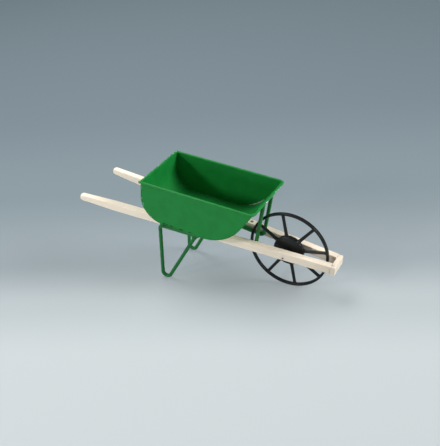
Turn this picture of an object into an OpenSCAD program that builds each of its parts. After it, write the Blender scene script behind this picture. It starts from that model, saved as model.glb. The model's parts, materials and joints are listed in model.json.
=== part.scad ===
// Miniature barrow: a painted sheet tub on two tapered wooden shafts, with wire legs,
// wire stays and a spoked wheel.
//
// Millimetres. +X is forward, towards the wheel, +Y is the left side and +Z is up.
// The barrow stands on Z = 0, and X = 0, Y = 0 is the middle of its whole outline.
//
// Most pieces are drawn in the shaft plane: u runs forward along the shafts from the
// axle, w rises square to them from their middle line, and the plane is tilted down to
// the front by shaft_slope. Right-hand pieces are mirror images of left-hand ones.

/* [Wheel] */
// Outside diameter of the wheel
wheel_d = 43; // [34:0.5:52]
// Depth of the rim, measured towards the hub
rim_depth = 1.3; // [0.7:0.05:2]
// Width of the rim along the axle
rim_width = 1.7; // [1.2:0.05:2.4]
// Number of spokes
spoke_count = 8; // [5:1:12]
// Spoke diameter at the hub
spoke_d_hub = 1.8; // [1.2:0.05:2]
// Spoke diameter at the rim
spoke_d_rim = 1.6; // [1:0.05:1.7]
// Angle of the first spoke above the forward direction
spoke_turn = 5; // [0:1:44]
// How far the second spoke stands behind its even place, in degrees
spoke_stray = 5; // [0:1:10]
// Diameter of the hub disc
hub_d = 16.4; // [12:0.2:20]
// Thickness of the hub disc at its middle
hub_thick = 3.6; // [3:0.1:6]
// Thickness of the hub disc at its edge
hub_edge_thick = 2.2; // [1.8:0.1:3]
// Diameter of the sleeve through the hub
sleeve_d = 3; // [2.4:0.1:4]

/* [Axle] */
// Diameter of the axle pin
axle_d = 1; // [0.8:0.1:1.4]
// Running clearance around the axle pin, on the radius
axle_clearance = 0.05; // [0.02:0.01:0.1]
// Free play of the wheel between the shafts, on each side
side_play = 0.35; // [0.2:0.05:0.6]
// How far the axle lies below the middle line of the shafts
axle_drop = 0.9; // [0:0.1:1.1]

/* [Shafts] */
// Slope of the shafts down to the front
shaft_slope = 11.1; // [8:0.1:14]
// Height of a shaft
shaft_h = 4.35; // [3.8:0.05:5.4]
// Width of a shaft
shaft_w = 3.75; // [3.7:0.05:4.6]
// Reach of the shafts behind the axle
shaft_back = 117.4; // [100:0.2:142]
// Width over the two grip ends
grip_span = 36; // [30:0.5:44]
// Thickness of a grip at its end
grip_end = 3.5; // [2:0.1:3.7]
// Length over which a grip tapers
grip_taper = 20; // [14:1:39]

/* [Front beam] */
// Length of the beam across the front
beam_len = 12.4; // [11.6:0.2:15]
// Thickness of the beam along the shafts
beam_thick = 2.6; // [2.2:0.1:4]
// How far the beam hangs below the shafts
beam_hang = 0.7; // [0:0.1:1.2]
// Gap between the wheel and the beam
beam_gap = 2.9; // [1.5:0.1:5]

/* [Tub] */
// Width over the two side panels
tub_w = 37; // [32:0.2:46]
// Depth of the tub at its rear wall
tub_depth = 21.3; // [17:0.1:26]
// Length of the flat floor
floor_len = 22.4; // [16:0.2:30]
// Outside radius of the bend between rear wall and floor
rear_bend = 13; // [8:0.5:15]
// Outside radius of the bend between floor and front wall
front_bend = 25; // [13:0.5:27]
// Angle between the front wall and the floor line
front_angle = 60; // [54:1:66]
// Rise of the tub's top edge towards the front
top_rise = 1.9; // [1:0.1:5]
// Gap between the wheel and the front bend of the tub
tub_gap = 4.1; // [3:0.1:8]
// Thickness of the tub's sheet
sheet = 0.5; // [0.4:0.05:0.7]
// Diameter of the rolled bead along the top edge
bead_d = 1.3; // [1.1:0.05:1.6]

/* [Wire legs and stays] */
// Diameter of the wire
wire_d = 2; // [1.6:0.1:2.2]
// Place of the leg's rear arm behind the axle
leg_rear = 67.9; // [62:0.2:76]
// Spread of the leg's two arms along the shaft
leg_spread = 19.8; // [16:0.2:26]
// Distance of the foot in front of the rear arm
foot_ahead = 4.6; // [3:0.1:8]
// Radius of the foot's bend
foot_bend = 2.5; // [1.6:0.1:3.4]
// Radius of the bend at the top of the rear arm
knee_bend = 1.7; // [1.2:0.1:2.4]
// How far the leg's rail lies below the middle line of the shaft
rail_drop = 1.8; // [0.6:0.1:1.8]
// Diameter of the solder knot where the leg's wire closes
knot_d = 3.3; // [2.8:0.1:3.6]
// Place of the stay's foot behind the axle
stay_foot = 16; // [14:0.2:19]
// Length of the stay's run along the shaft
stay_run = 13; // [9:0.2:15]
// Radius of the stay's bend
stay_bend = 2.6; // [1.6:0.1:3.2]
// How far the stay's run lies below the middle line of the shaft
stay_drop = 1.2; // [0.4:0.1:1.3]
// Gap between a wire and the wood it lies on
wire_seat = 0.02; // [0:0.01:0.1]

/* [Nails] */
// Diameter of a nail's shank
nail_d = 0.7; // [0.5:0.05:0.9]
// Diameter of a nail's head
nail_head_d = 1.5; // [1.1:0.1:1.8]
// Thickness of a nail's head
nail_head = 0.3; // [0.2:0.05:0.5]
// Length of a nail's shank inside the wood
nail_bite = 2.8; // [2:0.1:3.2]
// Distance of the tub nails from the ends of the flat floor
nail_inset = 5; // [4:0.5:8]

/* [Hidden] */
$fn = 64;
FAR = 400;

wheel_r = wheel_d / 2;
wire_r = wire_d / 2;
bead_r = bead_d / 2;

// --- the shaft plane -------------------------------------------------------------

beam_back = wheel_r + beam_gap;
beam_front = beam_back + beam_thick;

// Angle by which each shaft closes in on the middle towards the front
toe_in = atan((grip_span - beam_len) / 2 / (shaft_back + beam_front));
// Distance of a shaft's outer face from the middle, beside the axle
shaft_y = beam_len / 2 + beam_front * tan(toe_in);
// Distance of a shaft's inner face from the middle, beside the axle
inner_y = shaft_y - shaft_w / cos(toe_in);

// X of a point of the shaft plane, measured from the axle, and its height above ground
function plane_x(u, w) = u * cos(shaft_slope) + (w + axle_drop) * sin(shaft_slope);
function plane_z(u, w) = wheel_r - u * sin(shaft_slope) + (w + axle_drop) * cos(shaft_slope);

grip_end_r = grip_end / 2;
x_back = plane_x(-shaft_back + grip_end_r, 0) - grip_end_r;
x_front = plane_x(beam_front, shaft_h / 2);
x_middle = (x_back + x_front) / 2;

module in_shaft_plane() {
    translate([-x_middle, 0, wheel_r])
        rotate([0, shaft_slope, 0])
            translate([0, 0, axle_drop])
                children();
}

// The left shaft's own frame: x along it, y = 0 on its outer face, z up
module in_left_shaft() {
    in_shaft_plane()
        translate([0, shaft_y, 0])
            rotate([0, 0, -toe_in])
                children();
}

// Stands an outline drawn in x and y upright, so that its y points up
module upright() {
    rotate([90, 0, 0]) children();
}

module right_of() {
    mirror([0, 1, 0]) children();
}

// --- tub -------------------------------------------------------------------------

floor_w = shaft_h / 2;
front_centre_w = floor_w + front_bend;
rear_centre_w = floor_w + rear_bend;
// The front bend keeps tub_gap from the wheel, whose centre is at u = 0, w = -axle_drop
front_reach = wheel_r + tub_gap + front_bend;
front_centre_u = -sqrt(front_reach ^ 2 - (front_centre_w + axle_drop) ^ 2);
rear_centre_u = front_centre_u - floor_len;
rear_wall_u = rear_centre_u - rear_bend;
rear_top_w = floor_w + tub_depth;
function top_w(u) = rear_top_w + (u - rear_wall_u) * tan(top_rise);

front_bend_end = [
    front_centre_u + front_bend * sin(front_angle),
    front_centre_w - front_bend * cos(front_angle)
];
// Where the front wall's outer face meets the top line
front_rise = (top_w(front_bend_end.x) - front_bend_end.y)
    / (tan(front_angle) - tan(top_rise));
front_top = [front_bend_end.x + front_rise, front_bend_end.y + front_rise * tan(front_angle)];
front_normal = [sin(front_angle), -cos(front_angle)];

// Middle of the bead on the rear and front walls. Its inner side stays just inside the sheet.
bead_out = bead_r - sheet + 0.05;
rear_bead = [rear_wall_u - bead_out, top_w(rear_wall_u)];
front_bead = front_top + bead_out * front_normal;

// Each bend lies a hair inside its flats, and the flats run a little way into it
bend_in = 0.01;
flat_lap = 0.05;

// The tub seen from the side, shrunk inwards by inset. It runs on above the top line.
// It is drawn about the middle of the rear bend.
module tub_outline(inset) {
    above = 30;
    rear_r = rear_bend - inset;
    translate([rear_centre_u, rear_centre_w]) {
        translate([-rear_r, -flat_lap]) square([rear_r + floor_len, above]);
        translate([-flat_lap, -rear_r]) square([floor_len + 2 * flat_lap, rear_r + above]);
        intersection() {
            circle(r = rear_r - bend_in, $fn = 96);
            translate([-rear_bend, -rear_bend]) square(rear_bend);
        }
        translate([floor_len, front_bend - rear_bend]) front_outline(front_bend - inset, above);
    }
}

// The front bend and the sloping front wall, drawn about the middle of the bend
module front_outline(front_r, above) {
    intersection() {
        circle(r = front_r - bend_in, $fn = 160);
        translate([0, -2 * front_bend]) square(2 * front_bend);
        rotate(front_angle) translate([-2 * front_bend, -2 * front_bend]) square(2 * front_bend);
    }
    rotate(front_angle) translate([-flat_lap, -front_r]) square([above, front_r + above]);
}

// Everything above the line of the tub's top edge
module above_top() {
    polygon([[-FAR, top_w(-FAR)], [FAR, top_w(FAR)], [FAR, FAR], [-FAR, FAR]]);
}

// A bead along Y between the two side panels
module cross_bead(place) {
    translate([place.x, tub_w / 2 - sheet, place.y])
        upright() cylinder(d = bead_d, h = tub_w - 2 * sheet);
}

module tub_wrap() {
    color("#1d7d38")
        in_shaft_plane() {
            translate([0, tub_w / 2 - sheet, 0])
                upright()
                    linear_extrude(tub_w - 2 * sheet)
                        difference() {
                            tub_outline(0);
                            tub_outline(sheet);
                            above_top();
                        }
            cross_bead(rear_bead);
            cross_bead(front_bead);
        }
}

module tub_side_left() {
    bead_from = rear_bead.x - bead_r;
    bead_to = front_bead.x + bead_r;
    color("#1f7539")
        in_shaft_plane() {
            translate([0, tub_w / 2, 0])
                upright()
                    linear_extrude(sheet)
                        difference() {
                            tub_outline(0);
                            above_top();
                        }
            translate([bead_from, tub_w / 2 + bead_out, top_w(bead_from)])
                rotate([0, 90 - top_rise, 0])
                    cylinder(d = bead_d, h = (bead_to - bead_from) / cos(top_rise));
        }
}

// --- wood ------------------------------------------------------------------------

grip_end_at = -(shaft_back - grip_end_r) / cos(toe_in);
grip_full_at = grip_end_at + grip_taper;

// Outline of a shaft about its middle line, for a full thickness of size
module shaft_outline(size) {
    polygon([
        [grip_end_at, -grip_end_r],
        [grip_full_at, -size / 2],
        [beam_front + beam_thick, -size / 2],
        [beam_front + beam_thick, size / 2],
        [grip_full_at, size / 2],
        [grip_end_at, grip_end_r]
    ]);
    intersection() {
        translate([grip_end_at, 0]) circle(r = grip_end_r);
        translate([grip_end_at - grip_end, -grip_end]) square([grip_end, 2 * grip_end]);
    }
}

// Places its children where the nails stand on the left shaft
module at_nail(u) {
    in_left_shaft() translate([u / cos(toe_in), -shaft_w / 2, shaft_h / 2]) children();
}

tub_nails_u = [rear_centre_u + nail_inset, front_centre_u - nail_inset];
stay_nail_u = -(stay_foot + stay_run * 0.7);

module nail_hole(u, fit = wire_seat) {
    at_nail(u)
        translate([0, 0, -nail_bite - 0.1])
            cylinder(d = nail_d + 2 * fit, h = nail_bite + 0.1 + sheet + 1);
}

module axle_hole(d) {
    in_shaft_plane()
        translate([0, shaft_y + 10, -axle_drop])
            upright() cylinder(d = d, h = 2 * shaft_y + 20);
}

// A left shaft with nail holes at the given places along it
module shaft(nails_u) {
    color("#e2d3bb")
        difference() {
            in_left_shaft()
                intersection() {
                    upright() linear_extrude(shaft_w) shaft_outline(shaft_h);
                    translate([0, -shaft_w / 2, -shaft_h / 2])
                        linear_extrude(shaft_h) shaft_outline(shaft_w);
                }
            in_shaft_plane()
                translate([beam_back, -shaft_y * 2, -shaft_h])
                    cube([4 * beam_thick, 4 * shaft_y, 2 * shaft_h]);
            axle_hole(axle_d + 2 * wire_seat);
            for (u = nails_u) nail_hole(u);
        }
}

module shaft_left() {
    shaft(concat(tub_nails_u, [stay_nail_u]));
}

module front_beam() {
    height = shaft_h + beam_hang;
    color("#d9c9b0")
        in_shaft_plane()
            translate([beam_back, -beam_len / 2, -shaft_h / 2 - beam_hang])
                cube([beam_thick, beam_len, height]);
}

// --- bent wire -------------------------------------------------------------------

// Angle of the outward side of the straight run from one peg to the next
function run_side(a, b) =
    atan2(b.y - a.y, b.x - a.x) - acos((a[2] - b[2]) / norm([b.x - a.x, b.y - a.y]));
function run_length(a, b) = sqrt((b.x - a.x) ^ 2 + (b.y - a.y) ^ 2 - (a[2] - b[2]) ^ 2);

// A bend is a hair thicker than a straight run, and each run reaches a little into it
bend_swell = 0.02;
run_lap = 0.02;

// Wire drawn in the XY plane round a row of pegs, each [x, y, radius of the wire's
// middle line], and always turning left. The first and last peg have radius 0.
module bent_wire(pegs) {
    translate([pegs[0].x, pegs[0].y, 0])
        rotate([0, 0, run_side(pegs[0], pegs[1]) + 90])
            wire_from(pegs, 0);
}

// The wire from peg i on, starting at the origin and heading along +X
module wire_from(pegs, i) {
    long = run_length(pegs[i], pegs[i + 1]);
    lap_before = i > 0 ? run_lap : 0;
    lap_after = i + 2 < len(pegs) ? run_lap : 0;
    translate([-lap_before, 0, 0])
        rotate([0, 90, 0])
            cylinder(d = wire_d, h = long + lap_before + lap_after, $fn = 32);
    if (i + 2 < len(pegs)) {
        r = pegs[i + 1][2];
        turn_to = run_side(pegs[i + 1], pegs[i + 2]) - run_side(pegs[i], pegs[i + 1]);
        turn = (turn_to + 720) % 360;
        translate([long, r, 0]) {
            rotate([0, 0, -90])
                rotate_extrude(angle = turn)
                    translate([r, 0]) circle(d = wire_d + bend_swell, $fn = 32);
            rotate([0, 0, turn]) translate([0, -r, 0]) wire_from(pegs, i + 1);
        }
    }
}

leg_front = leg_rear - leg_spread;
// The leg lies against the shaft's outer face
leg_out = wire_r + wire_seat;
foot_x = -(leg_rear - foot_ahead);
foot_u = foot_x * cos(toe_in) + leg_out * sin(toe_in);
// Height of the foot bend's centre that lets the foot just touch the ground
foot_w = (foot_bend + wire_r - wheel_r + foot_u * sin(shaft_slope)) / cos(shaft_slope)
    - axle_drop;
// The front arm ends inside the knot, clear of the rail
arm_end_drop = 1.9 * wire_r;
knot_drop = 1.1 * wire_r;
// The knot is a flat drop of solder that covers both wires, a little off the shaft
knot_clear = 0.15;
knot_thick = wire_d + 0.2;

module leg_left() {
    color("#1a7034")
        in_left_shaft() {
            translate([0, leg_out, 0])
                upright()
                    bent_wire([
                        [-leg_front + 2 * wire_r, -rail_drop, 0],
                        [-leg_rear + knee_bend, -rail_drop - knee_bend, knee_bend],
                        [foot_x, foot_w, foot_bend],
                        [-leg_front, -rail_drop - arm_end_drop, 0]
                    ]);
            translate([-leg_front, knot_clear + knot_thick, -rail_drop - knot_drop])
                upright() cylinder(d = knot_d, h = knot_thick, $fn = 48);
        }
}

// Solid that fills the tub and its beads, to cut what is soldered against them
module tub_block() {
    in_shaft_plane() {
        translate([0, tub_w / 2, 0])
            upright() linear_extrude(tub_w) tub_outline(0);
        translate([front_bead.x, tub_w / 2, front_bead.y])
            upright() cylinder(d = bead_d, h = tub_w);
    }
}

module stay_left() {
    top = [front_bead.x - 0.2, front_bead.y];
    color("#1a7034")
        difference() {
            in_left_shaft()
                translate([0, -shaft_w - wire_r - wire_seat, 0])
                    upright()
                        bent_wire([
                            [-stay_foot - stay_run, -stay_drop, 0],
                            [-stay_foot - stay_bend, -stay_drop + stay_bend, stay_bend],
                            [top.x, top.y, 0]
                        ]);
            tub_block();
        }
}

// --- wheel and axle --------------------------------------------------------------

sleeve_len = 2 * (inner_y - side_play) - sleeve_d * sin(toe_in);

module wheel() {
    color("#242424")
        translate([-x_middle, 0, wheel_r])
            upright()
                difference() {
                    union() {
                        rotate_extrude($fn = 180)
                            translate([wheel_r - rim_depth, -rim_width / 2])
                                square([rim_depth, rim_width]);
                        for (i = [0:spoke_count - 1])
                            rotate([0, 0, spoke_turn + i * 360 / spoke_count - (i == 1 ? spoke_stray : 0)])
                                translate([hub_d / 2 - 1.5, 0, 0])
                                    rotate([0, 90, 0])
                                        cylinder(
                                            d1 = spoke_d_hub,
                                            d2 = spoke_d_rim,
                                            h = wheel_r - rim_depth / 2 - hub_d / 2 + 1.5,
                                            $fn = 24
                                        );
                        rotate_extrude($fn = 96) hub_section();
                        cylinder(d = sleeve_d, h = sleeve_len, center = true, $fn = 48);
                    }
                    cylinder(
                        d = axle_d + 2 * axle_clearance,
                        h = 2 * sleeve_len,
                        center = true,
                        $fn = 48
                    );
                }
}

// Half section of the hub disc: flat in the middle, falling to a softened edge
module hub_section() {
    r = hub_d / 2;
    mid = hub_thick / 2;
    edge = hub_edge_thick / 2;
    soft = 0.5;
    polygon([
        [0, -mid], [r * 0.55, -mid], [r - soft, -edge], [r, -edge + soft],
        [r, edge - soft], [r - soft, edge], [r * 0.55, mid], [0, mid]
    ]);
}

module axle_pin() {
    proud = 0.15;
    half = shaft_y + proud;
    color("#6d6a66")
        in_shaft_plane()
            translate([0, half, -axle_drop])
                upright() cylinder(d = axle_d, h = 2 * half, $fn = 48);
}

// --- nails -----------------------------------------------------------------------

// A nail in the top of the left shaft, whose flat head lies on the wood
module nail(u) {
    color("#4d4a45")
        at_nail(u) {
            translate([0, 0, -nail_bite]) cylinder(d = nail_d, h = nail_bite + nail_head / 2, $fn = 24);
            cylinder(d = nail_head_d, h = nail_head, $fn = 32);
        }
}

// The cone of a sunk nail's head, flush with the inside of the tub's floor and a fit larger
module sunk_head(u, fit = 0) {
    at_nail(u)
        translate([0, 0, sheet - nail_head])
            cylinder(d1 = nail_d + 2 * fit, d2 = nail_head_d + 2 * fit, h = nail_head, $fn = 32);
}

// A nail whose sunk head holds the tub's floor down on the left shaft
module sunk_nail(u) {
    color("#4d4a45") {
        at_nail(u)
            translate([0, 0, -nail_bite])
                cylinder(d = nail_d, h = nail_bite + sheet - nail_head / 2, $fn = 24);
        sunk_head(u);
    }
}

// The tub's floor has a sunk hole for each nail
module tub_wrap_drilled() {
    difference() {
        tub_wrap();
        for (u = tub_nails_u) {
            nail_hole(u);
            right_of() nail_hole(u);
            sunk_head(u, wire_seat);
            right_of() sunk_head(u, wire_seat);
        }
    }
}

tub_wrap_drilled();  // tub_wrap
tub_side_left();
right_of() tub_side_left();  // tub_side_right
shaft_left();
right_of() shaft(tub_nails_u);  // shaft_right
front_beam();
leg_left();
right_of() leg_left();  // leg_right
stay_left();
right_of() stay_left();  // stay_right
wheel();
axle_pin();
sunk_nail(tub_nails_u[0]);  // tub_nail_rear_left
sunk_nail(tub_nails_u[1]);  // tub_nail_front_left
right_of() sunk_nail(tub_nails_u[0]);  // tub_nail_rear_right
right_of() sunk_nail(tub_nails_u[1]);  // tub_nail_front_right
nail(stay_nail_u);  // stay_nail_left
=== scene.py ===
# %% [markdown]
# # A small garden barrow
#
# The barrow has a green enamelled tub, two bare wooden shafts, bent wire legs and stays, and
# a black spoked wheel. Its plain solid model is loaded first and never changed. The lesson
# then makes a finer surface for each piece, in the same place, and lets it stand for the
# plain one. The plain model says where each piece is, so nothing has to be fitted by eye.

# %% Load the plain model
import json

import bmesh
import bpy
import numpy as np
from mathutils import Matrix, Vector


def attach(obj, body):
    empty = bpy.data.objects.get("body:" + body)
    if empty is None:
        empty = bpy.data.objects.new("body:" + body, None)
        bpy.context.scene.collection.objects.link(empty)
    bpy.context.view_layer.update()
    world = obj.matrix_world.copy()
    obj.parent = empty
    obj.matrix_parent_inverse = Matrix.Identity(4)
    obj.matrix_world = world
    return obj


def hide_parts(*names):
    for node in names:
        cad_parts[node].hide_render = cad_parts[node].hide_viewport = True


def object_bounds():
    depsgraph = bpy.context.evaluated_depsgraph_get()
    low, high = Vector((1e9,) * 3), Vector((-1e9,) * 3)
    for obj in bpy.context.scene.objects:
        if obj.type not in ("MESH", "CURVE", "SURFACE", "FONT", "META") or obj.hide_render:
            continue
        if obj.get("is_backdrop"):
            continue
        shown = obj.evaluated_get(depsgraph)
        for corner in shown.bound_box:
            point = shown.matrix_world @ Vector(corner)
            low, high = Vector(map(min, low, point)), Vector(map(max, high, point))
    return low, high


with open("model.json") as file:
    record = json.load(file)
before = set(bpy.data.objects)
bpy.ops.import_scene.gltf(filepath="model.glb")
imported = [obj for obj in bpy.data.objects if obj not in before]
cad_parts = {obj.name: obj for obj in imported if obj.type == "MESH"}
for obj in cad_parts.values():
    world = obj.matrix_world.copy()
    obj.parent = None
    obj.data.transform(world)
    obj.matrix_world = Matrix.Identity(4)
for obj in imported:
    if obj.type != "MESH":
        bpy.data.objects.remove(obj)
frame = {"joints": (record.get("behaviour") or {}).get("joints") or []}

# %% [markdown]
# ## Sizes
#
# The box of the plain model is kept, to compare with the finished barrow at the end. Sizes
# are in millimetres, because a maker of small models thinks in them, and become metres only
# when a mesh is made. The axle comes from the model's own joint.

plain_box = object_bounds()
MM = 0.001
AXLE = np.array(frame["joints"][0]["pos_m"]) / MM
print("plain box in mm:", [[round(v / MM, 2) for v in corner] for corner in plain_box])
print("axle at", AXLE.round(3))

SLOPE = np.radians(11.1)        # slope of the shafts, down to the front
AXLE_DROP = 0.9                 # the axle lies this far under the shafts' middle line
SHAFT_BACK, GRIP_SPAN, GRIP_END, GRIP_TAPER = 117.4, 36.0, 3.5, 20.0
SHAFT_H, SHAFT_W = 4.35, 3.75
BEAM_LEN, BEAM_THICK, BEAM_HANG = 12.4, 2.6, 0.7
WHEEL_R, BEAM_GAP = 21.5, 2.9
BEAM_BACK = WHEEL_R + BEAM_GAP
TOE_IN = np.arctan((GRIP_SPAN - BEAM_LEN) / 2 / (SHAFT_BACK + BEAM_BACK + BEAM_THICK))
SHAFT_Y = BEAM_LEN / 2 + (BEAM_BACK + BEAM_THICK) * np.tan(TOE_IN)

# %% [markdown]
# ## Two frames of reference
#
# Most pieces are easy to describe in the sloping plane of the shafts: u runs forward from
# the axle, y to the left and w up, square to the plane. The pieces on a shaft are easier
# still in that shaft's own frame, which is turned a little, because the shafts close in on
# the wheel. Two short functions turn both kinds of point into places in the model.

# %% From the two frames to the model
def from_plane(p):
    """Turns (u, y, w) by the slope about the axle's direction, and moves it to the axle."""
    u, y, w = p[..., 0], p[..., 1], p[..., 2] + AXLE_DROP
    c, s = np.cos(SLOPE), np.sin(SLOPE)
    return np.stack([AXLE[0] + u * c + w * s, y, AXLE[2] - u * s + w * c], -1)


def to_plane(p):
    """The way back: from a place in the model to (u, y, w)."""
    x, z = p[..., 0] - AXLE[0], p[..., 2] - AXLE[2]
    c, s = np.cos(SLOPE), np.sin(SLOPE)
    return np.stack([x * c - z * s, p[..., 1], x * s + z * c - AXLE_DROP], -1)


def from_shaft(p, side=1):
    """Turns (along, out, up) by the toe-in and moves it to the shaft's outer face.
    The right side is the left side with y reversed."""
    c, s = np.cos(TOE_IN), np.sin(TOE_IN)
    u = p[..., 0] * c + p[..., 1] * s
    y = SHAFT_Y - p[..., 0] * s + p[..., 1] * c
    return from_plane(np.stack([u, side * y, p[..., 2]], -1))


print("toe-in in degrees:", round(float(np.degrees(TOE_IN)), 3))

# %% [markdown]
# ## Surfaces from grids
#
# Every surface here is a grid of points: a profile carried along a path, or turned round an
# axis. numpy works out all the points at once, and the faces follow from the grid's rows and
# columns. A grid whose last row joins its first is a ring. Where a row shrinks to one point,
# its copies are merged later, so that the shell is closed.

# %% Grid faces
def grid_faces(rows, cols, loop_rows=False, loop_cols=False):
    """Corners of each square of a grid, counted row by row: (i, j), (i+1, j), (i+1, j+1),
    (i, j+1), where a looped direction goes back to 0 after its last."""
    i, j = np.meshgrid(
        np.arange(rows if loop_rows else rows - 1),
        np.arange(cols if loop_cols else cols - 1),
        indexing="ij",
    )
    i2, j2 = (i + 1) % rows, (j + 1) % cols
    return np.stack([i * cols + j, i2 * cols + j, i2 * cols + j2, i * cols + j2], -1).reshape(-1, 4)


print("faces of a grid of 3 by 4 points:", len(grid_faces(3, 4)))


def skin(points, loop_rows=False, loop_cols=True, wear=0.0, tin=0.0, gap=0.0, grain=None):
    """A surface as a dictionary of flat arrays. wear, tin, gap and grain are marks for the
    finishes: how much the paint rubs off there, how much bare solder and tin shows (partly a
    painted highlight on the front roll), where painted shadow darkens an open joint, and
    where the point lies in its plank."""
    rows, cols = points.shape[:2]
    flat = points.reshape(-1, 3)
    return {
        "points": flat,
        "faces": grid_faces(rows, cols, loop_rows, loop_cols),
        "wear": np.broadcast_to(wear, (rows, cols)).reshape(-1),
        "tin": np.broadcast_to(tin, (rows, cols)).reshape(-1),
        "gap": np.broadcast_to(gap, (rows, cols)).reshape(-1),
        "grain": (flat if grain is None else grain.reshape(-1, 3)),
    }


# %% [markdown]
# ## Hand-made unevenness
#
# Nothing on a small hand-made thing is quite straight or smooth. A sum of long waves that
# run in all directions gives a smooth, natural unevenness, and it is the same each time
# because its seed is fixed.

# %% Unevenness
def uneven(points, size, seed, waves=24):
    """Mean of many cosines. Each wave has its own direction, start and length, between 0.6
    and 1.6 times size. Most values lie between -1 and 1."""
    rng = np.random.default_rng(seed)
    way = rng.normal(size=(waves, 3))
    way /= np.linalg.norm(way, axis=1, keepdims=True)
    length = size * rng.uniform(0.6, 1.6, waves)
    start = rng.uniform(0, 2 * np.pi, waves)
    return np.cos(2 * np.pi * (points @ way.T) / length + start).sum(-1) / np.sqrt(2 * waves)


# %% [markdown]
# ## From surfaces to an object
#
# One object may be made of several closed surfaces, such as a panel and its rolled edge.
# They are put into one mesh, equal points are merged, and the faces are turned outwards.
# The marks become attributes of the mesh, which the finishes read.

# %% Make an object
def make_piece(name, skins, body, slot, stands_for, sharp=50):
    """Joins the surfaces into a mesh in metres, merges its doubles, turns its faces outwards
    and hands it to the frame in place of the plain pieces that it stands for."""
    start = np.cumsum([0] + [len(s["points"]) for s in skins])
    points = np.concatenate([s["points"] for s in skins]) * MM
    faces = np.concatenate([s["faces"] + a for s, a in zip(skins, start)])
    mesh = bpy.data.meshes.new(name)
    mesh.from_pydata(points, [], faces)
    for mark in ("wear", "tin", "gap"):
        layer = mesh.attributes.new(mark, "FLOAT", "POINT")
        layer.data.foreach_set("value", np.concatenate([s[mark] for s in skins]).astype(np.float32))
    layer = mesh.attributes.new("grain", "FLOAT_VECTOR", "POINT")
    grain = np.concatenate([s["grain"] for s in skins]).astype(np.float32)
    layer.data.foreach_set("vector", grain.ravel())
    work = bmesh.new()
    work.from_mesh(mesh)
    bmesh.ops.remove_doubles(work, verts=work.verts, dist=1e-7)
    bmesh.ops.dissolve_degenerate(work, edges=work.edges, dist=1e-8)
    bmesh.ops.recalc_face_normals(work, faces=work.faces)
    open_edges = sum(e.is_boundary for e in work.edges)
    work.to_mesh(mesh)
    work.free()
    mesh.polygons.foreach_set("use_smooth", np.ones(len(mesh.polygons), bool))
    mesh.set_sharp_from_angle(angle=np.radians(sharp))
    mesh.materials.append(finish_of[slot])
    piece = bpy.data.objects.new(name, mesh)
    bpy.context.scene.collection.objects.link(piece)
    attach(piece, body)
    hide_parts(*stands_for)
    print(f"{name}: {len(mesh.polygons)} faces, {open_edges} open edges")


# %% [markdown]
# ## Rods
#
# Wire, rolled edges, spokes, pins and solder seams are all rods: a round section carried
# along a line. The section needs two directions square to the line. All these lines are
# flat, so one direction is simply the normal of the line's plane, and the rod never twists.
# Both ends are closed with a dome, as a filed or painted end is.

# %% A rod along a line
def rod(line, flat, radius, around=24, dome=6, bumps=0.0, bump_size=3.0, seed=1, **marks):
    """Ring of each point of the line: its centre, plus radius times (cosine of the angle
    times the side direction, plus sine times the plane's normal, flat). The domes go on from
    the ends: at angle a the centre moves on by radius sin a and the ring shrinks to cos a."""
    tangent = np.gradient(line, axis=0)
    tangent /= np.linalg.norm(tangent, axis=1, keepdims=True)
    radius = np.broadcast_to(radius, (len(line),)).astype(float)
    a = np.linspace(0, np.pi / 2, dome + 1)[1:, None]
    front = line[-1] + tangent[-1] * radius[-1] * np.sin(a)
    back = (line[0] - tangent[0] * radius[0] * np.sin(a))[::-1]
    centres = np.concatenate([back, line, front])
    tangents = np.concatenate([np.repeat(tangent[:1], dome, 0), tangent, np.repeat(tangent[-1:], dome, 0)])
    radii = np.concatenate([(radius[0] * np.cos(a[:, 0]))[::-1], radius, radius[-1] * np.cos(a[:, 0])])
    flat = np.asarray(flat, float) / np.linalg.norm(flat)
    side = np.cross(flat, tangents)
    side /= np.linalg.norm(side, axis=1, keepdims=True)
    angle = np.linspace(0, 2 * np.pi, around, endpoint=False)
    ring = np.cos(angle)[None, :, None] * side[:, None, :] + np.sin(angle)[None, :, None] * flat
    points = centres[:, None, :] + radii[:, None, None] * ring
    if bumps:
        swell = bumps * uneven(points, bump_size, seed)
        points = points + ring * (swell * (radii / radii.max())[:, None])[..., None]
    marks = {k: (v(points, ring) if callable(v) else v) for k, v in marks.items()}
    return skin(points, **marks)


def straight(a, b, count):
    """Evenly spaced points from a to b."""
    t = np.linspace(0, 1, count)[:, None]
    return np.asarray(a, float) * (1 - t) + np.asarray(b, float) * t


# %% [markdown]
# ## Shared shader effects
#
# Two effects serve more than one finish, so each is a node group that gives out values only.
# The first is brushed enamel: slow changes in how thick and dark the coat is, faint brush
# ridges, the fine dimples that enamel dries with, and small round lumps where dust or
# thick paint dried in; each lump is also painted paler, as a painted glint. The second is
# bare edges: paint that is rubbed off in small flakes where a mark on the mesh says that an
# edge is handled.

# %% Helpers for node trees
def link_up(tree, source, target):
    tree.links.new(source, target)


def node(tree, kind, inputs=None, **settings):
    """Adds a node, sets its properties and fills or links its inputs."""
    n = tree.nodes.new(kind)
    for key, value in settings.items():
        setattr(n, key, value)
    for key, value in (inputs or {}).items():
        if isinstance(value, bpy.types.NodeSocket):
            tree.links.new(value, n.inputs[key])
        else:
            n.inputs[key].default_value = value
    return n


def group(name, inputs, outputs):
    """A node group with named sockets. Returns the tree, its input node and its output node."""
    tree = bpy.data.node_groups.new(name, "ShaderNodeTree")
    for label, kind, value in inputs:
        socket = tree.interface.new_socket(label, in_out="INPUT", socket_type=kind)
        if value is not None:
            socket.default_value = value
    for label, kind in outputs:
        tree.interface.new_socket(label, in_out="OUTPUT", socket_type=kind)
    return tree, tree.nodes.new("NodeGroupInput"), tree.nodes.new("NodeGroupOutput")


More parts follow.
